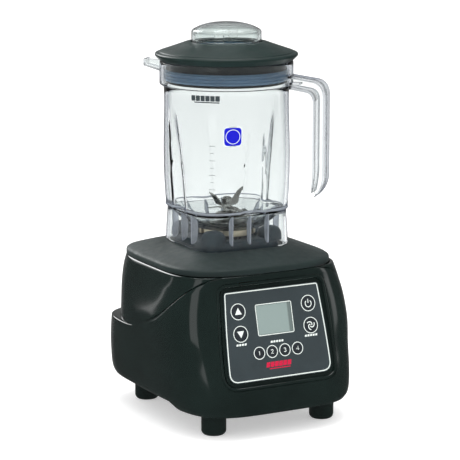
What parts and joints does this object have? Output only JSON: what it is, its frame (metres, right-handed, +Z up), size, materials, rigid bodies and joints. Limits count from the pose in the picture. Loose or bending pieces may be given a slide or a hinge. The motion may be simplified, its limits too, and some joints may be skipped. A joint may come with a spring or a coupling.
{
  "type": "countertop blender",
  "caption": "Countertop blender: a clear jar with side handle and pouring lip, rubber lid with clear cap, and a gloss black motor base with a keypad and display.",
  "frame": {"origin": "centre of the base's footprint, on the surface that the feet stand on", "axes": "+Z up along the drive axis, which stands 13 mm behind the origin; -Y is the front, where the control panel is; +X is to the right in a front view"},
  "size_m": [0.235, 0.2539, 0.45],
  "materials": {
    "housing": "high gloss moulded",
    "soft_deck": "soft-touch",
    "matte_black": "moulded texture",
    "rubber_black": "moulded",
    "membrane": "printed film",
    "key": "printed film over a dome",
    "display": "clear over a grey-green display",
    "board": "solder mask",
    "copper": "enamelled winding",
    "cast_aluminium": "as cast",
    "steel": "satin",
    "satin_nut": "satin, warm tone",
    "carbon": "sintered",
    "iron": "laminated",
    "clear_plastic": "clear, polished",
    "lid_rubber": "semi-gloss",
    "silicone": "translucent"
  },
  "bodies": {
    "base": {"lower_housing": "housing", "upper_housing": "housing", "top_deck": "soft_deck", "front_bezel": "housing", "base_plate": "matte_black", "cord_gland": "rubber_black", "foot_front_left": "rubber_black", "foot_front_right": "rubber_black", "foot_rear_left": "rubber_black", "foot_rear_right": "rubber_black", "foot_screw_front_left": "steel", "foot_screw_front_right": "steel", "foot_screw_rear_left": "steel", "foot_screw_rear_right": "steel", "control_membrane": "membrane", "lcd_window": "display", "lcd_module": "matte_black", "control_board": "board", "seat_pad": "rubber_black", "motor_stator": "copper", "motor_bracket_upper": "cast_aluminium", "motor_bearing_upper": "steel", "motor_tray": "cast_aluminium", "carbon_brush_left": "carbon", "carbon_brush_right": "carbon"},
    "rotor": {"motor_shaft": "steel", "rotor_core": "iron", "commutator": "copper", "cooling_fan": "cast_aluminium", "drive_socket": "steel"},
    "jar": {"jar_body": "clear_plastic", "jar_bowl": "clear_plastic", "jar_collar": "clear_plastic", "jar_spout": "clear_plastic", "jar_skirt": "clear_plastic", "jar_arm": "clear_plastic", "jar_grip": "clear_plastic", "bearing_housing": "steel", "retainer_nut": "satin_nut", "jar_bearing_lower": "steel", "jar_bearing_upper": "steel"},
    "blades": {"blade_shaft": "steel", "drive_spline": "steel", "blade_lower": "steel", "blade_spacer": "steel", "blade_upper": "steel", "blade_nut": "steel"},
    "lid": {"lid": "lid_rubber", "lid_gasket": "silicone"},
    "cap_ring": {"cap_seal": "silicone"},
    "cap": {"lid_cap": "clear_plastic"},
    "button_time_up": {"button_time_up": "key"},
    "button_time_down": {"button_time_down": "key"},
    "button_power": {"button_power": "key"},
    "button_pulse": {"button_pulse": "key"},
    "button_speed_1": {"button_speed_1": "key"},
    "button_speed_2": {"button_speed_2": "key"},
    "button_speed_3": {"button_speed_3": "key"},
    "button_speed_4": {"button_speed_4": "key"}
  },
  "joints": [
    {"name": "motor_spin", "type": "hinge", "parent": "base", "child": "rotor", "pos_m": [0, 0.013, 0.1], "axis": [0, 0, 1], "continuous": true},
    {"name": "jar_lift", "type": "slide", "parent": "base", "child": "jar", "axis": [0, 0, 1], "range_m": [0, 0.08]},
    {"name": "blade_spin", "type": "hinge", "parent": "jar", "child": "blades", "pos_m": [0, 0.013, 0.235], "axis": [0, 0, 1], "continuous": true},
    {"name": "lid_lift", "type": "slide", "parent": "jar", "child": "lid", "axis": [0, 0, 1], "range_m": [0, 0.06]},
    {"name": "cap_lift", "type": "slide", "parent": "lid", "child": "cap_ring", "axis": [0, 0, 1], "range_m": [0, 0.03]},
    {"name": "cap_turn", "type": "hinge", "parent": "cap_ring", "child": "cap", "pos_m": [0, 0.013, 0.43], "axis": [0, 0, 1], "range_deg": [-45, 45]},
    {"name": "press_time_up", "type": "slide", "parent": "base", "child": "button_time_up", "axis": [0, 0.9677, -0.2521], "range_m": [0, 0.0006], "stiffness_N_per_m": 1500},
    {"name": "press_time_down", "type": "slide", "parent": "base", "child": "button_time_down", "axis": [0, 0.9677, -0.2521], "range_m": [0, 0.0006], "stiffness_N_per_m": 1500},
    {"name": "press_power", "type": "slide", "parent": "base", "child": "button_power", "axis": [0, 0.9677, -0.2521], "range_m": [0, 0.0006], "stiffness_N_per_m": 1500},
    {"name": "press_pulse", "type": "slide", "parent": "base", "child": "button_pulse", "axis": [0, 0.9677, -0.2521], "range_m": [0, 0.0006], "stiffness_N_per_m": 1500},
    {"name": "press_speed_1", "type": "slide", "parent": "base", "child": "button_speed_1", "axis": [0, 0.9677, -0.2521], "range_m": [0, 0.0006], "stiffness_N_per_m": 1500},
    {"name": "press_speed_2", "type": "slide", "parent": "base", "child": "button_speed_2", "axis": [0, 0.9677, -0.2521], "range_m": [0, 0.0006], "stiffness_N_per_m": 1500},
    {"name": "press_speed_3", "type": "slide", "parent": "base", "child": "button_speed_3", "axis": [0, 0.9677, -0.2521], "range_m": [0, 0.0006], "stiffness_N_per_m": 1500},
    {"name": "press_speed_4", "type": "slide", "parent": "base", "child": "button_speed_4", "axis": [0, 0.9677, -0.2521], "range_m": [0, 0.0006], "stiffness_N_per_m": 1500}
  ],
  "couplings": [
    {"joint": "blade_spin", "follows": "motor_spin", "ratio": 1}
  ]
}
